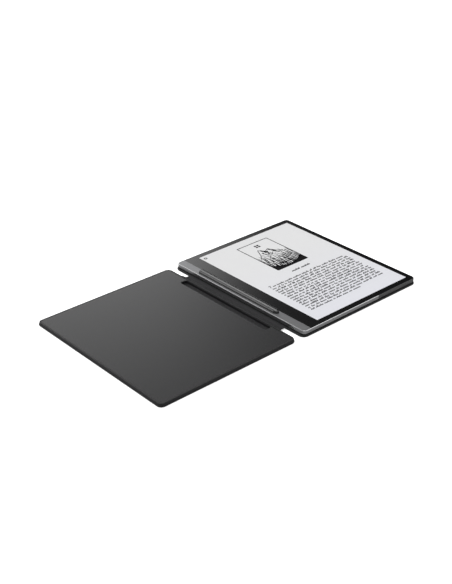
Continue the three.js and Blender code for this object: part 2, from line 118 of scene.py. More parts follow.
# The sky is a base level, a round light overhead and panels. A heading is in degrees from +Y towards +X,
# and an elevation in degrees above the horizon. Full and none are the elevations where the overhead light
# is whole and gone. Soft is how far a panel fades outside its heading and outside its elevation.
BASE_LEVEL = 0.165
OVERHEAD = {"full": 72, "none": 46, "gain": 3.1}
PANELS = [
    {"heading": (-62, 37.5), "elevation": (14, 26.6), "soft": (8, 8), "gain": 2.0},
    {"heading": (-60, -26), "elevation": (28, 42), "soft": (10, 8), "gain": 0.8},
    {"heading": (-14, 24), "elevation": (43, 56), "soft": (8, 6), "gain": 3.3},
    {"heading": (114, 148), "elevation": (32, 46), "soft": (10, 6), "gain": 1.5},
]
# The flag takes away a share of the light that comes from its side.
FLAG = {"heading": (52, 106), "elevation": (-5, 42), "soft": (12, 8), "depth": 0.83}


def panel(tree, heading, elevation, spec):
    """1 inside a panel's heading and elevation, and 0 away from them."""
    wide = window(tree, heading, *spec["heading"], spec["soft"][0])
    tall = window(tree, elevation, *spec["elevation"], spec["soft"][1])
    return maths(tree, "MULTIPLY", wide, tall)


def sky_level(tree):
    """Strength of the light from each direction, worked out from its heading and elevation in degrees."""
    place = tree.nodes.new("ShaderNodeSeparateXYZ")
    tree.links.new(tree.nodes.new("ShaderNodeTexCoord").outputs["Generated"], place.inputs[0])
    heading = maths(tree, "DEGREES", maths(tree, "ARCTAN2", place.outputs["X"], place.outputs["Y"]), 0.0)
    elevation = maths(tree, "DEGREES", maths(tree, "ARCSINE", place.outputs["Z"], 0.0), 0.0)
    overhead = between(tree, elevation, OVERHEAD["none"], OVERHEAD["full"])
    level = maths(tree, "ADD", maths(tree, "MULTIPLY", overhead, OVERHEAD["gain"]), BASE_LEVEL)
    for spec in PANELS:
        glow = maths(tree, "MULTIPLY", panel(tree, heading, elevation, spec), spec["gain"])
        level = maths(tree, "ADD", level, glow)
    shade = maths(tree, "MULTIPLY", panel(tree, heading, elevation, FLAG), FLAG["depth"])
    return maths(tree, "MULTIPLY", level, maths(tree, "SUBTRACT", 1.0, shade))


BACKDROP_GLOW = 1.1


def add_studio_light():
    """A tent that is plain white to the camera and lights the object with the sky's own uneven level."""
    world = bpy.data.worlds.new("studio")
    bpy.context.scene.world = world
    world.use_nodes = True
    tree = world.node_tree
    tree.nodes.clear()
    seen = tree.nodes.new("ShaderNodeLightPath").outputs["Is Camera Ray"]
    backdrop = tree.nodes.new("ShaderNodeBackground")
    backdrop.inputs["Color"].default_value = (1, 1, 1, 1)
    backdrop.inputs["Strength"].default_value = BACKDROP_GLOW
    tent = tree.nodes.new("ShaderNodeBackground")
    tree.links.new(sky_level(tree), tent.inputs["Strength"])
    mix = tree.nodes.new("ShaderNodeMixShader")
    tree.links.new(seen, mix.inputs[0])
    tree.links.new(tent.outputs[0], mix.inputs[1])
    tree.links.new(backdrop.outputs[0], mix.inputs[2])
    out = tree.nodes.new("ShaderNodeOutputWorld")
    tree.links.new(mix.outputs[0], out.inputs["Surface"])


FLOOR_RETURN = {"shade": 0.55, "glow": 0.0}  # for the light that the floor sends back to the object
FLOOR_SEEN = {"shade": 0.9, "glow": 0.62}  # for the camera, so that the floor stays white
FLOOR_HALF = 9.0  # metres
FLOOR_DROP = 0.00005  # metres below the object's underside


def floor_paint():
    """Matt pale paint, whiter and slightly glowing for the camera and greyer for every other ray."""
    paint = bpy.data.materials.new("floor_paint")
    paint.use_nodes = True
    tree = paint.node_tree
    tree.nodes.clear()
    shaders = []
    for look in (FLOOR_RETURN, FLOOR_SEEN):
        shader = tree.nodes.new("ShaderNodeBsdfPrincipled")
        shader.inputs["Base Color"].default_value = (look["shade"], look["shade"], look["shade"], 1)
        shader.inputs["Roughness"].default_value = 0.95
        shader.inputs["Specular IOR Level"].default_value = 0.0
        shader.inputs["Emission Color"].default_value = (1, 1, 1, 1)
        shader.inputs["Emission Strength"].default_value = look["glow"]
        shaders.append(shader)
    mix = tree.nodes.new("ShaderNodeMixShader")
    tree.links.new(tree.nodes.new("ShaderNodeLightPath").outputs["Is Camera Ray"], mix.inputs[0])
    tree.links.new(shaders[0].outputs[0], mix.inputs[1])
    tree.links.new(shaders[1].outputs[0], mix.inputs[2])
    out = tree.nodes.new("ShaderNodeOutputMaterial")
    tree.links.new(mix.outputs[0], out.inputs["Surface"])
    return paint


def add_floor():
    """One flat square, level with the world, just under the object."""
    mesh = bpy.data.meshes.new("floor")
    corners = [(x * FLOOR_HALF, y * FLOOR_HALF, 0) for x, y in ((-1, -1), (1, -1), (1, 1), (-1, 1))]
    mesh.from_pydata(corners, [], [(0, 1, 2, 3)])
    floor = bpy.data.objects.new("floor", mesh)
    floor.location.z = -FLOOR_DROP
    mesh.materials.append(floor_paint())
    bpy.context.scene.collection.objects.link(floor)


# ---------------------------------------------------------------- surfaces

def box_mm(node):
    """Lowest and highest corners of a CAD node, in millimetres."""
    low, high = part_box(node)
    return np.array(low) / MM, np.array(high) / MM


def outline(sides, left, right, inset=0.0, steps=CORNER_STEPS):
    """A rectangle with rounded corners, counter-clockwise: each corner is centre + r (cos t, sin t).

    Left and right are the corner radii at the two ends of X. Inset moves the whole line inwards.
    """
    x0, x1, y0, y1 = sides
    radii = np.maximum(np.array([right, right, left, left]) - inset, 0.05)
    corner_x = np.array([x1, x1, x0, x0])
    corner_y = np.array([y0, y1, y1, y0])
    into_x = np.array([-1, -1, 1, 1])
    into_y = np.array([1, -1, -1, 1])
    centre_x = corner_x + into_x * (inset + radii)
    centre_y = corner_y + into_y * (inset + radii)
    turn = np.linspace(0, math.pi / 2, steps + 1)
    angle = (np.arange(4) - 1)[:, None] * math.pi / 2 + turn
    x = centre_x[:, None] + radii[:, None] * np.cos(angle)
    y = centre_y[:, None] + radii[:, None] * np.sin(angle)
    return np.stack([x.ravel(), y.ravel()], axis=1)


def rings_over(line, profile):
    """Rings of a stack: for each (height, inset) of the profile, the line at that inset, at that height."""
    rings = []
    for z, inset in profile:
        flat = line(inset)
        rings.append(np.column_stack([flat, np.full(len(flat), z)]))
    return np.array(rings)


def quarter(start, end, steps=EDGE_STEPS, hollow=False, start_too=False):
    """Points of a quarter ellipse between two (height, inset) points, the first left out unless asked for.

    It leaves start along the inset axis and meets end along the height axis, or the other way if hollow.
    """
    t = np.linspace(0, math.pi / 2, steps + 1)[0 if start_too else 1 :]
    fast, slow = np.sin(t), 1 - np.cos(t)
    along, across = (fast, slow) if hollow else (slow, fast)
    z = start[0] + (end[0] - start[0]) * along
    inset = start[1] + (end[1] - start[1]) * across
    return list(zip(z, inset))


def stack_faces(levels, count):
    """Quads between neighbouring rings, and one face over each end."""
    level = np.arange(levels - 1)[:, None] * count
    here = np.arange(count)[None, :]
    after = (here + 1) % count
    quads = np.stack([level + here, level + after, level + count + after, level + count + here], axis=-1)
    faces = quads.reshape(-1, 4).tolist()
    faces.append(list(range(count))[::-1])
    faces.append(list(range((levels - 1) * count, levels * count)))
    return faces


def add_mesh(name, points, faces, materials, face_materials=None, sharp=32):
    """A new object at the origin from points in millimetres, smooth where its edges are shallow."""
    mesh = bpy.data.meshes.new(name)
    mesh.from_pydata((np.asarray(points, float).reshape(-1, 3) * MM).tolist(), [], faces)
    for material in materials:
        mesh.materials.append(material)
    if face_materials is not None:
        mesh.polygons.foreach_set("material_index", np.asarray(face_materials, np.int32))
    soften(mesh, sharp)
    piece = bpy.data.objects.new(name, mesh)
    bpy.context.scene.collection.objects.link(piece)
    return piece


def soften(mesh, sharp):
    """Shades the mesh smooth, apart from edges that turn by more than sharp degrees."""
    mesh.polygons.foreach_set("use_smooth", np.ones(len(mesh.polygons), bool))
    mesh.set_sharp_from_angle(angle=math.radians(sharp))
    mesh.update()


def stack(name, rings, materials, bands=None, ends=(0, 0), sharp=32):
    """A closed body over rings that all have the same number of points, from its underside to its last face.

    Bands gives each strip between two rings its material, and ends gives the two end faces theirs.
    """
    levels, count = rings.shape[:2]
    strip = np.zeros(levels - 1, int) if bands is None else np.array(bands)
    face_materials = np.concatenate([np.repeat(strip, count), ends])
    return add_mesh(name, rings, stack_faces(levels, count), materials, face_materials, sharp)


def turned(name, profile, place, materials, segments=64, bands=None):
    """A body of revolution about a line along Y: each (radius, y) of the profile turned by angle t.

    x = place + radius sin t and z = place + radius cos t. The first and last rings are closed by a face.
    """
    radius, y = np.array(profile, float).T
    t = np.linspace(0, 2 * math.pi, segments, endpoint=False)
    x = place[0] + radius[:, None] * np.sin(t)
    z = place[1] + radius[:, None] * np.cos(t)
    rings = np.stack([x, np.broadcast_to(y[:, None], x.shape), z], axis=-1)
    return stack(name, rings[:, ::-1], materials, bands)


def bar_along_y(sides, y_levels, insets, radius):
    """Rings of a rounded bar along Y: sides are its X and Z limits, one ring for each y and inset."""
    rings = []
    for y, inset in zip(y_levels, insets):
        flat = outline(sides, radius, radius, inset, 8)
        rings.append(np.column_stack([flat[:, 0], np.full(len(flat), y), flat[:, 1]])[::-1])
    return np.array(rings)


def carve(piece, tools, operation="DIFFERENCE", sharp=32):
    """Cuts the tools out of the piece, or keeps what lies in them, and removes them."""
    for tool in tools:
        step = piece.modifiers.new(tool.name, "BOOLEAN")
        step.operation = operation
        step.object = tool
        step.solver = "EXACT"
    finished = piece.evaluated_get(bpy.context.evaluated_depsgraph_get())
    mesh = bpy.data.meshes.new_from_object(finished)
    piece.modifiers.clear()
    piece.data = mesh
    soften(mesh, sharp)
    for tool in tools:
        bpy.data.objects.remove(tool)
    return piece


def prism(name, sides, z0, z1, radius=0.4, left=None):
    """A plain cutting block with rounded upright edges."""

    def line(inset):
        """The block's outline at an inset."""
        return outline(sides, radius if left is None else left, radius, inset)

    return stack(name, rings_over(line, [(z0, 0), (z1, 0)]), [])


def settle(piece, body, slot, *nodes):
    """The piece rides on a body and stands for CAD nodes, which it hides; slot is not used."""
    if nodes:
        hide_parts(*nodes)
    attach(piece, body)
    return piece


# ---------------------------------------------------------------- shader groups

def new_group(name, inputs, outputs):
    """An empty shader group with named sockets, and the sockets to build between."""
    group = bpy.data.node_groups.new(name, "ShaderNodeTree")
    for label, kind, value in inputs:
        socket = group.interface.new_socket(name=label, in_out="INPUT", socket_type=kind)
        socket.default_value = value
    for label, kind in outputs:
        group.interface.new_socket(name=label, in_out="OUTPUT", socket_type=kind)
    entry = group.nodes.new("NodeGroupInput")
    leave = group.nodes.new("NodeGroupOutput")
    return group, entry.outputs, leave.inputs


def object_place(tree):
    """Object coordinates, which stay with a piece when its body moves."""
    return tree.nodes.new("ShaderNodeTexCoord").outputs["Object"]


def noise(tree, place, scale, detail=3.0, roughness=0.55):
    """Cloudy noise from 0 to 1 over a place; its scale is a number or a socket."""
    node = tree.nodes.new("ShaderNodeTexNoise")
    node.inputs["Detail"].default_value = detail
    node.inputs["Roughness"].default_value = roughness
    tree.links.new(place, node.inputs["Vector"])
    if isinstance(scale, (int, float)):
        node.inputs["Scale"].default_value = scale
    else:
        tree.links.new(scale, node.inputs["Scale"])
    return node.outputs["Fac"]


def grain_group():
    """Fine even grain: two sizes of noise raised as a bump."""
    group, given, made = new_group(
        "fine_grain",
        [("Scale", "NodeSocketFloat", 3000.0), ("Height", "NodeSocketFloat", 0.00002)],
        [("Normal", "NodeSocketVector")],
    )
    place = object_place(group)
    coarse = noise(group, place, given["Scale"])
    fine = noise(group, place, maths(group, "MULTIPLY", given["Scale"], 2.7), 2.0)
    both = maths(group, "MULTIPLY", maths(group, "ADD", coarse, fine), 0.5)
    bump = group.nodes.new("ShaderNodeBump")
    bump.inputs["Strength"].default_value = 1.0
    group.links.new(given["Height"], bump.inputs["Distance"])
    group.links.new(both, bump.inputs["Height"])
    group.links.new(bump.outputs[0], made["Normal"])
    return group


def pebble_group():
    """Pebbled hide: cells of uneven size with soft valleys between them."""
    group, given, made = new_group(
        "pebble_grain",
        [("Scale", "NodeSocketFloat", 1400.0), ("Height", "NodeSocketFloat", 0.00004)],
        [("Normal", "NodeSocketVector")],
    )
    place = object_place(group)
    cells = group.nodes.new("ShaderNodeTexVoronoi")
    cells.feature = "SMOOTH_F1"
    cells.inputs["Smoothness"].default_value = 0.6
    group.links.new(place, cells.inputs["Vector"])
    group.links.new(given["Scale"], cells.inputs["Scale"])
    valleys = maths(group, "SUBTRACT", 1.0, cells.outputs["Distance"])
    bump = group.nodes.new("ShaderNodeBump")
    bump.inputs["Strength"].default_value = 1.0
    group.links.new(given["Height"], bump.inputs["Distance"])
    group.links.new(valleys, bump.inputs["Height"])
    group.links.new(bump.outputs[0], made["Normal"])
    return group


def drift_group():
    """Slow uneven tone with a little fine speckle, which scales a colour and a roughness together."""
    group, given, made = new_group(
        "tone_drift",
        [
            ("Color", "NodeSocketColor", (0.5, 0.5, 0.5, 1)),
            ("Amount", "NodeSocketFloat", 0.1),
            ("Scale", "NodeSocketFloat", 14.0),
            ("Roughness", "NodeSocketFloat", 0.5),
        ],
        [("Color", "NodeSocketColor"), ("Roughness", "NodeSocketFloat")],
    )
    place = object_place(group)
    slow = noise(group, place, given["Scale"], 2.0)
    speckle = noise(group, place, 2600.0, 2.0)
    mixed = maths(group, "ADD", maths(group, "MULTIPLY", slow, 0.7), maths(group, "MULTIPLY", speckle, 0.3))
    swing = maths(group, "MULTIPLY", maths(group, "SUBTRACT", mixed, 0.5), given["Amount"])
    gain = maths(group, "ADD", swing, 1.0)
    scaled = group.nodes.new("ShaderNodeVectorMath")
    scaled.operation = "SCALE"
    group.links.new(given["Color"], scaled.inputs[0])
    group.links.new(gain, scaled.inputs["Scale"])
    group.links.new(scaled.outputs[0], made["Color"])
    group.links.new(maths(group, "MULTIPLY", given["Roughness"], gain), made["Roughness"])
    return group


GROUPS = {"grain": grain_group(), "pebble": pebble_group(), "drift": drift_group()}


def place_group(tree, kind, **values):
    """One of the shared groups in a material, with its own values."""
    node = tree.nodes.new("ShaderNodeGroup")
    node.node_tree = GROUPS[kind]
    for label, value in values.items():
        node.inputs[label].default_value = value
    return node


# ---------------------------------------------------------------- materials

def finish(name, color, roughness, metallic=0.0, drift=0.12, drift_scale=14.0, relief=None, **sockets):
    """A Principled material with a drifting tone; relief is a group's kind, scale and height in metres.

    Any other value goes to the shader's socket of that name, with spaces for the underscores.
    """
    material = bpy.data.materials.new(name)
    material.use_nodes = True
    tree = material.node_tree
    shader = tree.nodes["Principled BSDF"]
    paint = (*color, 1)
    tone = place_group(tree, "drift", Color=paint, Amount=drift, Scale=drift_scale, Roughness=roughness)
    tree.links.new(tone.outputs["Color"], shader.inputs["Base Color"])
    tree.links.new(tone.outputs["Roughness"], shader.inputs["Roughness"])
    shader.inputs["Metallic"].default_value = metallic
    if relief:
        kind, scale, height = relief
        surface = place_group(tree, kind, Scale=scale, Height=height)
        tree.links.new(surface.outputs["Normal"], shader.inputs["Normal"])
    for label, value in sockets.items():
        shader.inputs[label.replace("_", " ")].default_value = value
    return material


def cover_hide():
    """The folio's outer face: matt pebbled hide."""
    return finish(
        "cover_hide", (0.014, 0.014, 0.0147), 0.5, drift=0.16, drift_scale=9,
        relief=("pebble", 1500.0, 0.00003), Specular_IOR_Level=0.34,
    )


def cover_lining():
    """The folio's inner face: smooth microfibre that catches light at a low angle."""
    return finish(
        "cover_lining", (0.017, 0.017, 0.0178), 0.26, drift=0.10, drift_scale=7,
        relief=("grain", 2600.0, 0.000004), Specular_IOR_Level=0.55, Sheen_Weight=0.03, Sheen_Roughness=0.5,
    )


def pressed_lining():
    """The same microfibre in the groove and over the spine, duller, and darker in colour as painted shade there.
    """
    return finish(
        "pressed_lining", (0.012, 0.012, 0.013), 0.55, drift=0.14, drift_scale=9,
        relief=("grain", 2600.0, 0.000012), Specular_IOR_Level=0.30,
    )


def anodised(name, color, roughness):
    """Bead-blasted and anodised metal."""
    return finish(
        name, color, roughness, metallic=1.0, drift=0.08, drift_scale=20, relief=("grain", 5200.0, 0.000003),
    )


def printed_border():
    """Black print under smooth clear plastic."""
    return finish(
        "printed_border", (0.005, 0.005, 0.0055), 0.13, drift=0.1, drift_scale=30,
        relief=("grain", 6000.0, 0.0000015), Specular_IOR_Level=0.62,
    )


# painted light: the front light's cool glow, painted into the paper's colour near its lower edge
PAINTED_LIGHT_SHARE = 0.7  # how far up the page the light from its lower edge reaches
PAINTED_LIGHT_TINT = (0.985, 0.99, 1.045, 1)


def e_paper():
    """Matt paper white, with the front light's cooler glow painted into its colour towards the lower edge."""
    material = finish(
        "e_paper", (0.715, 0.715, 0.72), 0.62, drift=0.03, drift_scale=40,
        relief=("grain", 4200.0, 0.000003), Specular_IOR_Level=0.12,
    )
    tree = material.node_tree
    shader = tree.nodes["Principled BSDF"]
    tone = shader.inputs["Base Color"].links[0].from_socket
    place = tree.nodes.new("ShaderNodeSeparateXYZ")
    tree.links.new(object_place(tree), place.inputs[0])
    low, high = PAGE_SIDES[2] * MM, PAGE_SIDES[3] * MM
    lit = tree.nodes.new("ShaderNodeMapRange")
    lit.inputs["From Min"].default_value = low + PAINTED_LIGHT_SHARE * (high - low)
    lit.inputs["From Max"].default_value = low
    tree.links.new(place.outputs["Y"], lit.inputs["Value"])
    # painted light: the paper's colour is multiplied by a cool tint near the lower edge
    tint = tree.nodes.new("ShaderNodeMix")
    tint.data_type = "RGBA"
    tint.blend_type = "MULTIPLY"
    tint.inputs["B"].default_value = PAINTED_LIGHT_TINT
    tree.links.new(lit.outputs[0], tint.inputs["Factor"])
    tree.links.new(tone, tint.inputs["A"])
    tree.links.new(tint.outputs["Result"], shader.inputs["Base Color"])
    return material


# ---------------------------------------------------------------- places from the frame

FLAP_LOW, FLAP_HIGH = box_mm("flap_skin")
FLAP_TOP = box_mm("flap_lining")[1][2]
BACK_LOW, BACK_HIGH = box_mm("back_skin")
BACK_TOP = box_mm("back_lining")[1][2]
HOUSING_LOW, HOUSING_HIGH = box_mm("housing")
LENS_LOW, LENS_HIGH = box_mm("front_lens")
LIGHTS_LOW, LIGHTS_HIGH = box_mm("front_light_strip")
SPINE_LOW, SPINE_HIGH = box_mm("spine_skin")
SPINE_TOP = box_mm("spine_lining")[1][2]
BARREL_LOW, BARREL_HIGH = box_mm("pen_barrel")
CONE_LOW, CONE_HIGH = box_mm("pen_tip_cone")
CAP_HIGH = box_mm("pen_cap")[1]
NIB_LOW, NIB_HIGH = box_mm("pen_nib")
USB_LOW, USB_HIGH = box_mm("usb_port")
BUTTON_LOW, BUTTON_HIGH = box_mm("power_button")

FRONT = HOUSING_HIGH[2]
PEN_RADIUS = (BARREL_HIGH[2] - BARREL_LOW[2]) / 2
PEN_X = (BARREL_HIGH[0] + BARREL_LOW[0]) / 2
PEN_Z = (BARREL_HIGH[2] + BARREL_LOW[2]) / 2
PAGE_HALF = 104.83  # half the height of the picture area
PAGE_SIDES = (LIGHTS_LOW[0], LIGHTS_HIGH[0], -PAGE_HALF, PAGE_HALF)

MATERIALS = {
    "cover": cover_hide(),
    "cover_lining": cover_lining(),
    # the darker colour of pressed_lining is painted shade for the groove and the spine
    "pressed_lining": pressed_lining(),
    "board": finish("board", (0.42, 0.40, 0.37), 0.9, relief=("grain", 1500.0, 0.00005)),
    "housing": anodised("blasted_metal", (0.335, 0.338, 0.346), 0.375),
    "chamfer": anodised("cut_chamfer", (0.74, 0.745, 0.755), 0.17),
    "steel": anodised("stamped_steel", (0.55, 0.56, 0.57), 0.28),
    "magnet": anodised("nickel_plate", (0.70, 0.70, 0.71), 0.15),
    "black_plastic": finish("black_plastic", (0.012, 0.012, 0.013), 0.5, relief=("grain", 2600.0, 0.00001)),
    "grey_plastic": finish("grey_plastic", (0.085, 0.086, 0.088), 0.42, relief=("grain", 3200.0, 0.000006)),
    "lens": printed_border(),
    "paper": e_paper(),
    "ink": finish("e_ink", (0.008, 0.008, 0.0085), 0.7, drift=0.2, drift_scale=60, Specular_IOR_Level=0.05),
    "clear": finish("clear_guide", (0.80, 0.83, 0.85), 0.2, drift=0.03),
    "circuit": finish("solder_mask", (0.02, 0.16, 0.07), 0.45, relief=("grain", 1200.0, 0.00003)),
    "flex": finish("amber_film", (0.55, 0.30, 0.06), 0.35, drift=0.2),
    "cell": finish("pouch_foil", (0.05, 0.055, 0.065), 0.4, relief=("grain", 300.0, 0.00006)),
    "pen_body": finish(
        "pen_body", (0.016, 0.016, 0.017), 0.25, drift=0.08, drift_scale=30,
        relief=("grain", 5000.0, 0.000002), Specular_IOR_Level=0.95,
    ),
    "nib": finish("nib", (0.015, 0.015, 0.016), 0.45, relief=("grain", 4000.0, 0.000005)),
}


# ---------------------------------------------------------------- folio

SEAM_INSET = 3.0  # from a panel's edge to the join between the wrap and the inner sheet
SHEET = 0.3  # thickness of the inner sheet
SLACK = 0.05  # clearance between the wrap and the sheet that lies in it
SEAM_GAP = 0.12  # open line between the wrap's end and the inner sheet
SPINE_CORNER = 7.5  # radius of a panel's corners at the spine
OUTER_CORNER = 6.5  # and of the two away from it


def panel_line(low, high, left, right):
    """The outline of a folio panel as a function of its inset."""
    sides = (low[0], high[0], low[1], high[1])
    return lambda inset: outline(sides, left, right, inset)


def wrap_profile(top, nose, under, over, turn):
    """Edge of a panel: a quarter ellipse out to the nose, a side that leans in, and a small round.

    Nose is the height where the panel is widest. Under and over are how far the edge draws in at the bottom
    and at the top, and turn is the height of the round. It ends at the join on top.
    """
    lean = 0.75 * over
    return [
        (0, under + 1.0),
        *quarter((0, under), (nose, 0), start_too=True),
        (nose + 0.3, 0),
        (nose + 0.8, 0.12 * lean),
        (top - turn, lean),
        *quarter((top - turn, lean), (top, over), hollow=True),
        (top, SEAM_INSET),
        (top - SHEET - SLACK, SEAM_INSET),
    ]


FLAP_LINE = panel_line(FLAP_LOW, FLAP_HIGH, OUTER_CORNER, SPINE_CORNER)
GROOVE_SIDES = (-18.5, -9.2, -76.6, 75.4)  # its limits along X, then along Y
GROOVE_CORNER = 2.7
GROOVE_FLOOR = 0.65  # height of its floor
GROOVE_WALL = 0.3  # thickness of the sheet round it
GROOVE_UNDER = 0.5  # height of the sheet's lower face under the groove


def groove_line(inset):
    """The outline of the pen's groove at an inset."""
    return outline(GROOVE_SIDES, GROOVE_CORNER, GROOVE_CORNER, inset)


def flap_wrap():
    """The flap's outer skin over its board: panel rings, then groove rings down to the skin's inner face."""
    over = rings_over(FLAP_LINE, wrap_profile(FLAP_TOP, 1.3, 1.4, 1.25, 0.35))
    around = -GROOVE_WALL - SLACK
    hole = rings_over(groove_line, [(FLAP_TOP - SHEET - SLACK, around), (GROOVE_UNDER - SLACK, around)])
    piece = stack("flap_wrap", np.concatenate([over, hole]), [MATERIALS["cover"]])
    return settle(piece, "flap", "cover", "flap_skin")


def flap_face():
    """The inner sheet with the pen's groove: a quarter-round lip, an upright wall, a fillet and a floor."""
    lip = 0.45
    fillet = 0.9
    bevel = 0.06
    edge = SEAM_INSET + SEAM_GAP
    under = rings_over(groove_line, [(GROOVE_UNDER, -GROOVE_WALL), (FLAP_TOP - SHEET, -GROOVE_WALL)])
    sheet_profile = [
        (FLAP_TOP - SHEET, edge),
        (FLAP_TOP - bevel, edge),
        (FLAP_TOP, edge + bevel),
        (FLAP_TOP, edge + 0.6),
    ]
    sheet = rings_over(FLAP_LINE, sheet_profile)
    groove_profile = [
        (FLAP_TOP, -lip - 0.6),
        (FLAP_TOP, -lip),
        *quarter((FLAP_TOP, -lip), (FLAP_TOP - lip, 0)),
        (GROOVE_FLOOR + fillet, 0),
        *quarter((GROOVE_FLOOR + fillet, 0), (GROOVE_FLOOR, fillet), hollow=True),
        (GROOVE_FLOOR, fillet + 0.8),
    ]
    rings = np.concatenate([under, sheet, rings_over(groove_line, groove_profile)])
    # the groove's walls and floor take the darker lining: painted shade in the groove
    bands = [0] * (len(under) + len(sheet) + 1) + [1] * (len(groove_profile) - 2)
    finishes = [MATERIALS["cover_lining"], MATERIALS["pressed_lining"]]
    piece = stack("flap_face", rings, finishes, bands, ends=(0, 1))
    return settle(piece, "flap", "cover_lining", "flap_lining")


BACK_LINE = panel_line(BACK_LOW, BACK_HIGH, SPINE_CORNER, OUTER_CORNER)


def back_wrap():
    """The back panel's outer skin, with the same kind of edge as the flap's."""
    rings = rings_over(BACK_LINE, wrap_profile(BACK_TOP, 1.2, 1.3, 0.4, 0.35))
    piece = stack("back_wrap", rings, [MATERIALS["cover"]])
    return settle(piece, "folio_back", "cover", "back_skin")


def back_face():
    """The back panel's inner sheet: flat, with a bevelled edge along the join."""
    bevel = 0.08
    edge = SEAM_INSET + SEAM_GAP
    profile = [
        (BACK_TOP - SHEET, edge),
        (BACK_TOP - bevel, edge),
        (BACK_TOP, edge + bevel),
        (BACK_TOP, edge + 0.6),
    ]
    piece = stack("back_face", rings_over(BACK_LINE, profile), [MATERIALS["cover_lining"]])
    return settle(piece, "folio_back", "cover_lining", "back_lining")


SPINE_FOLD = next(joint for joint in frame["joints"] if joint["name"] == "spine_fold")
HINGE_X = SPINE_FOLD["pos_m"][0] / MM  # the other fold lies as far to the left


def smooth_step(value, start, end):
    """3 t^2 - 2 t^3 of a value's share t of the way from start to end."""
    share = np.clip((value - start) / (end - start), 0, 1)
    return share * share * (3 - 2 * share)


def spine_half(name, side, node, reach, crown):
    """Half of the spine, a soft sheet whose top climbs from its middle to crown as a smooth step.

    Side is 1 towards the reader and -1 towards the flap. Across the sheet x runs from the middle of the
    spine to reach, over the panel's edge. Along it y runs to an end that flares outwards near the panel as
    a quarter circle, and the sheet thins to a rounded edge there.
    """
    across = np.concatenate([np.linspace(0, HINGE_X + 0.2, 36), np.linspace(HINGE_X + 0.3, reach, 14)])
    along = np.sin(np.linspace(-math.pi / 2, math.pi / 2, 90))
    flare = 3.0
    edge = 0.45
    near = np.clip((across - (HINGE_X + 0.2 - flare)) / flare, 0, 1)
    half_length = SPINE_HIGH[1] + flare * (1 - np.sqrt(1 - near**2))
    x, v = np.meshgrid(across, along, indexing="ij")
    y = v * half_length[:, None]
    top = SPINE_TOP + (crown - SPINE_TOP) * smooth_step(x, 0.6, HINGE_X + 0.9)
    under = SPINE_LOW[2] + (crown - 0.08 - SPINE_LOW[2]) * smooth_step(x, HINGE_X - 0.6, HINGE_X + 0.7)
    under = np.minimum(under, top - 0.06)
    past = ((np.abs(y) - half_length[:, None] + edge) / edge).clip(0, 1)
    ends = np.sqrt(np.clip(1 - past**2, 0.02, 1))
    core = (top + under) / 2
    upper = np.stack([side * x, y, core + (top - core) * ends], axis=-1)
    lower = np.stack([side * x, y, core - (core - under) * ends], axis=-1)
    # the spine sheet takes the darker lining: painted shade along the spine
    piece = add_mesh(name, *slab(upper, lower, side < 0), [MATERIALS["pressed_lining"]], sharp=50)
    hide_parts(node)
    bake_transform(piece)
    return piece


def slab(upper, lower, flipped):
    """Points and quads of a closed slab between two grids of the same shape."""
    rows, columns = upper.shape[:2]
    index = np.arange(rows * columns).reshape(rows, columns)
    other = index + rows * columns

    def quads(a):
        """One quad between each four neighbours of a grid of point numbers."""
        return np.stack([a[:-1, :-1], a[1:, :-1], a[1:, 1:], a[:-1, 1:]], axis=-1).reshape(-1, 4)

    rim = np.concatenate([index[:, 0], index[-1, 1:], index[-2::-1, -1], index[0, -2:0:-1]])
    rim_below = rim + rows * columns
    turned_rim = np.roll(rim, -1)
    turned_below = np.roll(rim_below, -1)
    walls = np.stack([rim, rim_below, turned_below, turned_rim], axis=-1)
    faces = np.concatenate([quads(index), quads(other)[:, ::-1], walls])
    if flipped:
        faces = faces[:, ::-1]
    return np.concatenate([upper.reshape(-1, 3), lower.reshape(-1, 3)]), faces.tolist()


# ---------------------------------------------------------------- reader

HOUSING_SIDES = (HOUSING_LOW[0], HOUSING_HIGH[0], HOUSING_LOW[1], HOUSING_HIGH[1])
HOUSING_CORNER = 5.0
CHAMFER = 0.32
WALL = 1.1
PAST = 1.0  # how far a cutting block runs past the surface that it cuts
ANTENNA_LOW, ANTENNA_HIGH = box_mm("antenna_cover")
HAIRLINE = 0.06  # half the width of the line between the metal and the antenna cover


def housing_line(inset):
    """The reader's outline at an inset."""
    return outline(HOUSING_SIDES, HOUSING_CORNER, HOUSING_CORNER, inset)


def housing_block(name, materials):
    """The reader's outer form: rounded underside, upright wall and one chamfer in its own finish."""
    low = HOUSING_LOW[2]
    profile = [
        (low, 2.2),
        (low, 1.4),
        *quarter((low, 1.4), (low + 1.4, 0)),
        (FRONT - CHAMFER - 0.4, 0),
        (FRONT - CHAMFER, 0),
        (FRONT, CHAMFER),
        (FRONT, CHAMFER + 0.2),
    ]
    bands = np.zeros(len(profile) - 1, int)
    bands[-2] = 1
    return stack(name, rings_over(housing_line, profile), materials, bands, sharp=20)


def lens_recess():
    """The shallow pocket that the lens lies in, with a hairline all round it."""
    gap = 0.06
    sides = (LENS_LOW[0] - gap, LENS_HIGH[0] + gap, LENS_LOW[1] - gap, LENS_HIGH[1] + gap)
    return prism("recess", sides, LENS_LOW[2] - 0.05, FRONT + PAST, HOUSING_CORNER - 0.5, 0.6)


def housing_hollow():
    """The room for the display and the electronics, open at the front."""
    left = box_mm("bezel_mask")[0][0] - 0.3
    sides = (left, HOUSING_HIGH[0] - WALL, HOUSING_LOW[1] + WALL, HOUSING_HIGH[1] - WALL)
    return prism("hollow", sides, HOUSING_LOW[2] + 0.7, FRONT + PAST, HOUSING_CORNER - WALL, 0.5)


def pen_channel():
    """A round trough along Y whose lower end is half an ellipse: r = R sqrt(1 - s^2) over the last 5 mm."""
    radius = 4.5
    scoop = 5.0
    y0, y1 = -68.3, 75.2
    s = np.linspace(1, 0, 12)
    end = [(max(radius * math.sqrt(1 - v * v), 0.02), y0 + scoop * (1 - v)) for v in s]
    top = [(radius, y1 - 0.5), (radius - 0.15, y1 - 0.12), (radius - 0.5, y1)]
    return turned("channel", [*end, *top], (PEN_X, PEN_Z), [], 72)


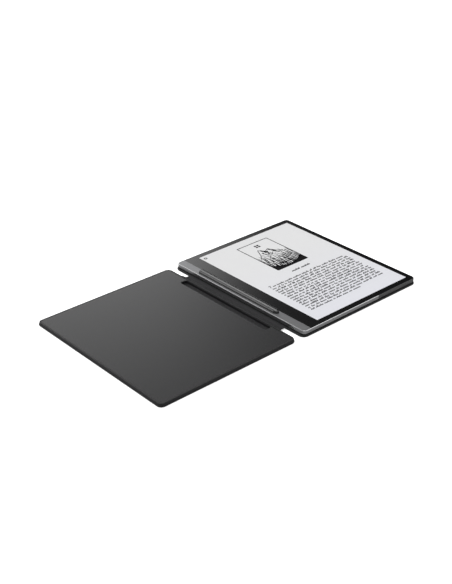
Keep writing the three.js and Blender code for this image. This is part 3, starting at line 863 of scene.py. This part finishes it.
def usb_mouth():
    """The socket's opening in the wall, a slot with round ends, flared a little at the surface."""
    gap = 0.15
    y0, y1 = USB_LOW[1] - gap, USB_HIGH[1] + gap
    z0, z1 = USB_LOW[2] - gap, USB_HIGH[2] + gap
    rings = []
    for x, grow in [(HOUSING_LOW[0] - PAST, 0.3), (HOUSING_LOW[0] + 0.15, 0.12), (USB_HIGH[0] + PAST, 0.12)]:
        flat = outline((y0, y1, z0, z1), (z1 - z0) / 2, (z1 - z0) / 2, -grow, 10)
        rings.append(np.column_stack([np.full(len(flat), x), flat]))
    return stack("usb_mouth", np.array(rings), [])


def button_mouth():
    """The slot with round ends that the power key slides in."""
    x0, x1 = BUTTON_LOW[0] + 0.8, BUTTON_HIGH[0] - 0.8
    middle = (BUTTON_LOW[2] + BUTTON_HIGH[2]) / 2
    sides = (x0, x1, middle - 0.95, middle + 0.95)
    levels = (HOUSING_HIGH[1] - WALL - 0.5, HOUSING_HIGH[1] + PAST)
    return stack("button_mouth", bar_along_y(sides, levels, (0, 0), 0.94), [])


def microphone_hole(node):
    """A drilled hole through the top wall in front of a microphone."""
    low, high = box_mm(node)
    place = ((low[0] + high[0]) / 2, (low[2] + high[2]) / 2)
    y0 = HOUSING_HIGH[1] - WALL - 0.5
    return turned(node + "_hole", [(0.6, y0), (0.6, HOUSING_HIGH[1] + PAST)], place, [], 24)


def antenna_region(grow):
    """Where the wall is moulded instead of metal, round the lower right corner: an angle of two blocks."""
    deep = 6.0
    x0, y1, z0 = ANTENNA_LOW[0] - grow, ANTENNA_HIGH[1] + grow, ANTENNA_LOW[2] - grow
    right, low = HOUSING_HIGH[0], HOUSING_LOW[1]
    along = prism("antenna_along", (x0, right + PAST, low - PAST, low + deep), z0, FRONT + PAST, 0.1)
    side = prism("antenna_side", (right - deep, right + PAST, low - PAST, y1), z0, FRONT + PAST, 0.1)
    return carve(along, [side], "UNION")


def reader_housing():
    """The metal body: the outer form less its hollow, pockets and openings and the moulded stretch."""
    piece = housing_block("reader_housing", [MATERIALS["housing"], MATERIALS["chamfer"]])
    moulded = carve(antenna_region(HAIRLINE), [housing_hollow()])
    tools = [
        housing_hollow(),
        lens_recess(),
        pen_channel(),
        usb_mouth(),
        button_mouth(),
        microphone_hole("microphone_1"),
        microphone_hole("microphone_2"),
        moulded,
    ]
    for tool in tools:
        carve(piece, [tool], sharp=20)
    return settle(piece, "reader", "housing", "housing")


def antenna_window():
    """The moulded stretch of the wall: the housing's form, kept only where the metal is left out."""
    piece = housing_block("antenna_window", [MATERIALS["grey_plastic"], MATERIALS["grey_plastic"]])
    carve(piece, [antenna_region(-HAIRLINE)], "INTERSECT")
    carve(piece, [housing_hollow()])
    carve(piece, [lens_recess()], sharp=20)
    return settle(piece, "reader", "grey_plastic", "antenna_cover")


def front_lens():
    """The lens: a thin plate whose middle, over the page, is paper white and the rest printed black."""
    sides = (LENS_LOW[0], LENS_HIGH[0], LENS_LOW[1], LENS_HIGH[1])
    corner = HOUSING_CORNER - CHAMFER - 0.1

    def plate_line(inset):
        """The plate's outline at an inset."""
        return outline(sides, 0.6, corner, inset)

    def page_line(inset):
        """The page's outline at an inset."""
        return outline(PAGE_SIDES, 0.06, 0.06, inset)

    over = rings_over(plate_line, [(LENS_LOW[2], 0), (FRONT - 0.06, 0), (FRONT, 0.06), (FRONT, 0.4)])
    page = rings_over(page_line, [(FRONT, 0)])
    finishes = [MATERIALS["lens"], MATERIALS["paper"]]
    piece = stack("front_lens_plate", np.concatenate([over, page]), finishes, ends=(0, 1))
    return settle(piece, "reader", "lens", "front_lens")


def power_key():
    """The key's cap: a bar with round ends and a softly domed face, on its flange."""
    x0, x1 = BUTTON_LOW[0] + 1, BUTTON_HIGH[0] - 1
    middle = (BUTTON_LOW[2] + BUTTON_HIGH[2]) / 2
    face = BUTTON_HIGH[1]
    flange = BUTTON_LOW[1] + 0.75
    levels = [BUTTON_LOW[1], flange, flange, face - 0.25, face - 0.07, face, face]
    insets = [-0.9, -0.9, 0, 0, 0.07, 0.25, 0.5]
    rings = bar_along_y((x0, x1, middle - 0.75, middle + 0.75), levels, insets, 0.74)
    piece = stack("power_key", rings, [MATERIALS["housing"]])
    return settle(piece, "power_button", "housing", "power_button")


# ---------------------------------------------------------------- pen

PEN_AXIS = (PEN_X, PEN_Z)
PEN_BEVEL = 0.06  # at each join between the pen's parts
PEN_WALL = 0.9


def pen_shaft():
    """The barrel: a straight tube form, bevelled at both joins."""
    r = PEN_RADIUS
    y0, y1 = BARREL_LOW[1], BARREL_HIGH[1]
    profile = [
        (r - PEN_WALL, y0),
        (r - PEN_BEVEL, y0),
        (r, y0 + PEN_BEVEL),
        (r, y0 + 0.6),
        (r, y1 - 0.6),
        (r, y1 - PEN_BEVEL),
        (r - PEN_BEVEL, y1),
        (r - PEN_WALL, y1),
    ]
    piece = turned("pen_shaft", profile, PEN_AXIS, [MATERIALS["pen_body"]])
    return settle(piece, "pen", "pen_body", "pen_barrel")


def pen_tip():
    """The tapered end: r = mouth + (R - mouth) (1 - s^4), where s goes from 1 at the nib's mouth to 0."""
    mouth = 2.2
    taper = 8.0
    s = np.linspace(1, 0, 20)
    y = CONE_LOW[1] + 0.25 + taper * (1 - s)
    r = mouth + (PEN_RADIUS - mouth) * (1 - s**4)
    profile = [
        (0.95, CONE_LOW[1] + 0.4),
        (1.1, CONE_LOW[1]),
        (mouth - 0.3, CONE_LOW[1]),
        *zip(r, y),
        (PEN_RADIUS, CONE_HIGH[1] - PEN_BEVEL),
        (PEN_RADIUS - PEN_BEVEL, CONE_HIGH[1]),
        (1.2, CONE_HIGH[1]),
    ]
    piece = turned("pen_tip", profile, PEN_AXIS, [MATERIALS["pen_body"]])
    return settle(piece, "pen", "pen_body", "pen_tip_cone")


def pen_end():
    """The end cap: a short drum whose edge is a quarter circle."""
    r = PEN_RADIUS
    edge = 0.8
    y0, y1 = BARREL_HIGH[1] + 2 * PEN_BEVEL, CAP_HIGH[1]
    t = np.linspace(0, math.pi / 2, 9)
    rounded = list(zip(r - edge * (1 - np.cos(t)), y1 - edge + edge * np.sin(t)))
    start = [(r - PEN_WALL, y0), (r - PEN_BEVEL, y0), (r, y0 + PEN_BEVEL)]
    piece = turned("pen_end", [*start, *rounded, (r - edge - 1.2, y1)], PEN_AXIS, [MATERIALS["pen_body"]])
    return settle(piece, "pen", "pen_body", "pen_cap")


def pen_point():
    """The nib: a thin rod whose point is a quarter ellipse turned about its axis."""
    r = (NIB_HIGH[2] - NIB_LOW[2]) / 2
    t = np.linspace(0.1, math.pi / 2, 8)
    point = list(zip(r * np.sin(t), NIB_LOW[1] + 0.9 * (1 - np.cos(t))))
    piece = turned("pen_point", [*point, (r, NIB_HIGH[1])], PEN_AXIS, [MATERIALS["nib"]], 32)
    return settle(piece, "nib", "nib", "pen_nib")


# ---------------------------------------------------------------- page

INK_LIFT = 0.012  # thickness of the ink over the lens
PAGE_X, PAGE_Y = PAGE_SIDES[0], PAGE_SIDES[2]
WRITING = np.random.default_rng(11)


def ribbon(path, width):
    """A flat stroke as a closed strip: the path offset by half its width to each side, top and underside."""
    path = np.asarray(path, float)
    step = np.gradient(path, axis=0)
    step /= np.maximum(np.linalg.norm(step, axis=1, keepdims=True), 1e-6)
    across = np.stack([-step[:, 1], step[:, 0]], axis=1) * np.broadcast_to(width, len(path))[:, None] / 2
    z = np.array([FRONT, FRONT + INK_LIFT])
    corners = [(across, z[0]), (-across, z[0]), (-across, z[1]), (across, z[1])]
    return np.stack([np.column_stack([path + side, np.full(len(path), h)]) for side, h in corners], axis=1)


def ink_piece(name, strokes):
    """All strokes as one mesh, each a closed tube of four-sided section."""
    points = []
    faces = []
    base = 0
    for rings in strokes:
        levels = len(rings)
        made = np.array(stack_faces(levels, 4)) + base
        points.append(rings.reshape(-1, 3))
        faces += made[:, ::-1].tolist()
        base += levels * 4
    piece = add_mesh(name, np.concatenate(points), faces, [MATERIALS["ink"]])
    return settle(piece, "reader", "lens")


def scrawl(x, y, length, height, weight=1.0):
    """One word of meaningless slanted writing: loops of x-height, some drawn out upwards or downwards."""
    letters = max(1, round(length / 1.5))
    s = np.linspace(0, letters, letters * 7 + 1)
    reach = np.ones(letters + 1)
    tall = WRITING.random(letters + 1)
    reach[tall > 0.72] = 1.75
    reach = reach[s.astype(int)]
    dip = np.where(tall[s.astype(int)] < 0.08, -0.7, 0.0)
    swing = 0.5 - 0.5 * np.cos(2 * math.pi * s)
    up = height * (swing * reach + dip * (1 - swing) * np.sin(math.pi * (s % 1)))
    across = x + length * s / letters + 0.25 * np.sin(2 * math.pi * s) + 0.3 * up
    width = weight * (0.54 + 0.26 * np.abs(np.sin(2 * math.pi * s)))
    return ribbon(np.column_stack([across, y + up]), width)


def text_line(x0, x1, y, height):
    """Words of uneven length from x0 to x1, with gaps between them."""
    strokes = []
    x = x0
    while x < x1 - 2:
        length = min(WRITING.uniform(3.0, 13.5), x1 - x)
        strokes.append(scrawl(x, y, length, height))
        x += length + WRITING.uniform(1.7, 2.4)
    return strokes


HEADING_Y = 103.8
FIRST_ROW_Y = 90.9
ROW_PITCH = 5.01
TEXT_ROWS = 15


def page_text():
    """A short centred heading and fifteen lines of unreadable script after a larger first stroke."""
    heading = [(63, 13.5), (79, 15.5)]
    strokes = [scrawl(PAGE_X + x, PAGE_Y + HEADING_Y, length, 2.4, 1.1) for x, length in heading]
    for row in range(TEXT_ROWS):
        x0 = PAGE_X + (17.5 if row == 0 else 12.2)
        x1 = PAGE_X + (99 if row == TEXT_ROWS - 1 else 145)
        strokes += text_line(x0, x1, PAGE_Y + FIRST_ROW_Y - row * ROW_PITCH, 2.1)
    initial = [(12.6, 94.8), (15.0, 95.3), (16.8, 94.6), (15.0, 95.2), (14.3, 92.0), (13.2, 90.4)]
    strokes.append(ribbon(np.array(initial) + (PAGE_X, PAGE_Y), 0.95))
    return ink_piece("page_text", strokes)


PICTURE = (PAGE_X + 52.4, PAGE_X + 104.4, PAGE_Y + 118.0, PAGE_Y + 195.0)


def straight(x0, y0, x1, y1, width):
    """One straight stroke."""
    return ribbon([(x0, y0), (x1, y1)], width)


def picture_border():
    """A thin frame of four strokes, once round the picture."""
    x0, x1, y0, y1 = PICTURE
    corners = [(x0, y0), (x1, y0), (x1, y1), (x0, y1)]
    return [straight(*here, *after, 1.3) for here, after in zip(corners, corners[1:] + corners[:1])]


def ridge_line(heights, x0, x1, y, width):
    """A jagged skyline through evenly spaced heights, roughened between them."""
    s = np.linspace(0, 1, 60)
    line = np.interp(s, np.linspace(0, 1, len(heights)), heights)
    line += 0.5 * np.interp(s, np.linspace(0, 1, 30), WRITING.uniform(-1, 1, 30))
    return ribbon(np.column_stack([x0 + (x1 - x0) * s, y + line]), width)


def mountain():
    """Two skylines, dark shaded flanks below the peaks, and fine strokes down the slopes."""
    x0, x1, y0, y1 = PICTURE
    base = y0 + 30
    strokes = [
        ridge_line([5, 13, 27, 19, 23, 12, 8], x0 + 4, x1 - 7, base, 1.0),
        ridge_line([3, 9, 12, 17, 13, 9, 10], x0 + 14, x1 - 3, base - 4, 0.7),
    ]
    flanks = [
        (20, 25, 9, 3.5),
        (22.5, 21, 7, 4.5),
        (26, 19, 8, -3.5),
        (30.5, 22.5, 8, 4.5),
        (34, 17, 5, 3.5),
        (17, 18, 5, 3),
    ]
    for x, top, low, lean in flanks:
        path = np.linspace((x0 + x, base + top), (x0 + x + lean, base + low), 9)
        path[:, 0] += 0.5 * np.sin(np.arange(9) * 2.4)
        strokes.append(ribbon(path, np.linspace(2.6, 0.5, 9)))
    for i in range(18):
        x = x0 + 9 + i * 2.0
        top = base + 7 + 8 * math.sin(i * 0.9) ** 2
        strokes.append(straight(x, top, x + 1.6, top - 6.5, 0.55))
    return strokes


def fir(x, y, height, girth):
    """One fir as a single upright stroke: its width grows downwards in saw teeth, one for each tier."""
    s = np.linspace(0, 1, 15)
    tiers = 0.55 + 0.45 * (np.arange(15) % 2)
    return ribbon(np.column_stack([np.full(15, x), y + height * (1 - s)]), girth * (0.12 + 0.88 * s) * tiers)


def forest():
    """Rows of firs down the slope, closer together and broader towards the bottom."""
    x0, x1, y0, y1 = PICTURE
    strokes = []
    rows = [(24, 11, 15, 1.9), (17, 14, 17, 2.3), (9, 15, 18, 2.7), (3, 14, 19, 3.2)]
    for low, high, count, girth in rows:
        places = np.linspace(x0 + 2, x1 - 2, count) + WRITING.uniform(-0.8, 0.8, count)
        for x in places:
            side = 2 * (x - x0) / (x1 - x0) - 1
            y = y0 + low + 9 * side**2
            strokes.append(fir(x, y, min(high * WRITING.uniform(0.7, 1.25), y1 - y - 6), girth))
    return strokes


def dark_ground():
    """Solid ink under the forest, in upright bars below a curve: top = low + rise (2 s - 1)^2."""
    x0, x1, y0, _ = PICTURE
    s = np.linspace(0, 1, 53)
    width = (x1 - x0) / 52
    top = 4.5 + 10 * (2 * s - 1) ** 2
    return [straight(x, y0, x, y0 + h, width * 1.05) for x, h in zip(x0 + (x1 - x0) * s, top)]


def page_picture():
    """The framed drawing: hills over firs, under a plain mark of four short bars."""
    strokes = [*picture_border(), *mountain(), *forest(), *dark_ground()]
    mark_x, mark_y = PAGE_X + 78, PAGE_Y + 184.3
    for dx, dy in [(-2, 1.9), (2, 1.9), (-2, -1.9), (2, -1.9)]:
        strokes.append(straight(mark_x + dx - 1.55, mark_y + dy, mark_x + dx + 1.55, mark_y + dy, 2.8))
    return ink_piece("page_picture", strokes)


def page_icon():
    """A small ring near the page's upper left corner: a plain menu mark."""
    t = np.linspace(0, 2 * math.pi, 25)
    ring = np.column_stack([5.5 + 1.7 * np.cos(t), 203 + 1.7 * np.sin(t)]) + (PAGE_X, PAGE_Y)
    return ink_piece("page_icon", [ribbon(ring, 1.3)])


# ---------------------------------------------------------------- the whole scene

def dress_cad_nodes():
    """Every CAD node that still shows gets the material of its slot in the record."""
    for row in frame["record"]["subparts"]:
        node = frame["nodes"][row["node"]]
        node.data.materials.clear()
        node.data.materials.append(MATERIALS[row["material_slot"]])


bpy.context.scene.view_settings.view_transform = "Standard"
add_camera()
add_studio_light()
add_floor()
dress_cad_nodes()

flap_wrap()
flap_face()
back_wrap()
back_face()
spine_half("spine_sheet_back", 1, "spine_skin", HINGE_X + 2.0, BACK_TOP + 0.05)
spine_half("spine_sheet_flap", -1, "spine_lining", HINGE_X + 3.2, FLAP_TOP + 0.06)
reader_housing()
antenna_window()
front_lens()
power_key()
pen_shaft()
pen_tip()
pen_end()
pen_point()
page_text()
page_picture()
page_icon()
